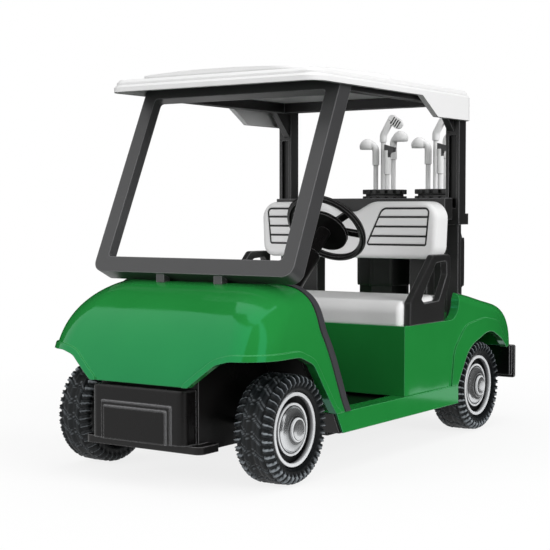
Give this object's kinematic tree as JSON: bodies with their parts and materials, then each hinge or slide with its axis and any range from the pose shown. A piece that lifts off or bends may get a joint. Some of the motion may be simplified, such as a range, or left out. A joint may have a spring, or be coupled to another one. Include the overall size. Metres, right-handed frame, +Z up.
{
  "type": "toy golf cart",
  "caption": "Toy golf cart with a canopy on struts, an open windshield frame, a bench seat, bags of clubs at the back and wheels that roll on free axles.",
  "frame": {"origin": "on the floor under the middle of the cart", "axes": "+X forwards, +Y to the cart's left, +Z up"},
  "size_m": [0.12, 0.0544, 0.0829],
  "materials": {
    "green_enamel": "gloss enamel on a die-cast shell",
    "black_plastic": "satin moulded",
    "white_plastic": "gloss moulded",
    "seat_plastic": "satin moulded with sunk lines",
    "bag_plastic": "ribbed moulded",
    "club_plastic": "silver moulded",
    "rim_plating": "vacuum plated plastic",
    "tyre_rubber": "soft moulded with lugs",
    "axle_steel": "plain drawn"
  },
  "bodies": {
    "body": {"front_cowl": "green_enamel", "rear_body": "green_enamel", "sill_left": "green_enamel", "sill_right": "green_enamel", "chassis": "black_plastic", "front_bumper": "black_plastic", "rear_bumper": "black_plastic", "floor_pan": "black_plastic", "dashboard": "black_plastic", "cowl_trim_left": "black_plastic", "cowl_trim_right": "black_plastic", "windshield_frame": "black_plastic", "roof_frame": "black_plastic", "rear_strut_left": "black_plastic", "rear_strut_right": "black_plastic", "seat_back_frame": "black_plastic", "hip_restraint_left": "black_plastic", "hip_restraint_right": "black_plastic", "steering_wheel": "black_plastic", "steering_column": "black_plastic", "bag_tray": "black_plastic", "roof": "white_plastic", "seat_cushion": "seat_plastic", "seat_back": "seat_plastic", "golf_bag_left": "bag_plastic", "golf_bag_right": "bag_plastic", "clubs_left": "club_plastic", "clubs_right": "club_plastic"},
    "front_wheels": {"front_axle": "axle_steel", "front_rim_left": "rim_plating", "front_rim_right": "rim_plating", "front_tyre_left": "tyre_rubber", "front_tyre_right": "tyre_rubber"},
    "rear_wheels": {"rear_axle": "axle_steel", "rear_rim_left": "rim_plating", "rear_rim_right": "rim_plating", "rear_tyre_left": "tyre_rubber", "rear_tyre_right": "tyre_rubber"}
  },
  "joints": [
    {"name": "front_axle_spin", "type": "hinge", "parent": "body", "child": "front_wheels", "pos_m": [0.0426, 0, 0.0108], "axis": [0, 1, 0], "continuous": true},
    {"name": "rear_axle_spin", "type": "hinge", "parent": "body", "child": "rear_wheels", "pos_m": [-0.0374, 0, 0.0108], "axis": [0, 1, 0], "continuous": true}
  ]
}
